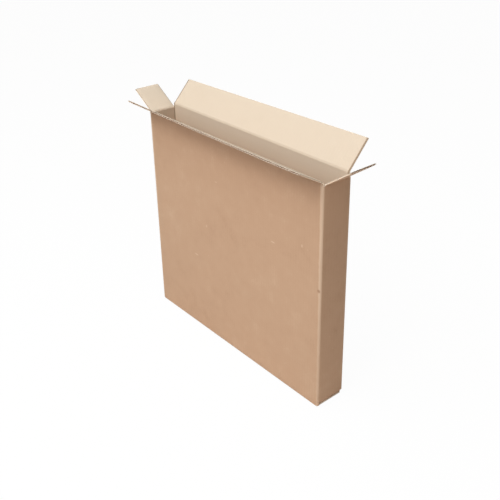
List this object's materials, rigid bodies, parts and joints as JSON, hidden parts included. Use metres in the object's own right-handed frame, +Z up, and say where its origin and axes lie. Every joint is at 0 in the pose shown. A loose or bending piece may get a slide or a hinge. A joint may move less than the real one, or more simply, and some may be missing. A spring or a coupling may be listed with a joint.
{
  "type": "slim cardboard box",
  "caption": "Tall, narrow single wall cardboard box with a glued floor and hinged top flaps that stand open.",
  "frame": {"origin": "middle of the footprint of the four walls, on the surface that the box stands on", "axes": "+Z up, +X along the box's long side, +Y across it towards the flap that closes last"},
  "size_m": [0.7317, 0.1884, 0.6031],
  "materials": {
    "cardboard": "matt brown kraft paper"
  },
  "bodies": {
    "carton_body": {"carton_body": "cardboard"},
    "top_flap_front": {"top_flap_front": "cardboard"},
    "top_flap_back": {"top_flap_back": "cardboard"},
    "top_flap_left": {"top_flap_left": "cardboard"},
    "top_flap_right": {"top_flap_right": "cardboard"}
  },
  "joints": [
    {"name": "front_crease", "type": "hinge", "parent": "carton_body", "child": "top_flap_front", "pos_m": [0, -0.038, 0.54], "axis": [1, 0, 0], "range_deg": [-150, 115]},
    {"name": "back_crease", "type": "hinge", "parent": "carton_body", "child": "top_flap_back", "pos_m": [0, 0.038, 0.5443], "axis": [-1, 0, 0], "range_deg": [-132, 133]},
    {"name": "left_crease", "type": "hinge", "parent": "carton_body", "child": "top_flap_left", "pos_m": [-0.3, 0, 0.5357], "axis": [0, -1, 0], "range_deg": [-147.5, 117.5]},
    {"name": "right_crease", "type": "hinge", "parent": "carton_body", "child": "top_flap_right", "pos_m": [0.3, 0, 0.5357], "axis": [0, 1, 0], "range_deg": [-145.5, 119.5]}
  ]
}
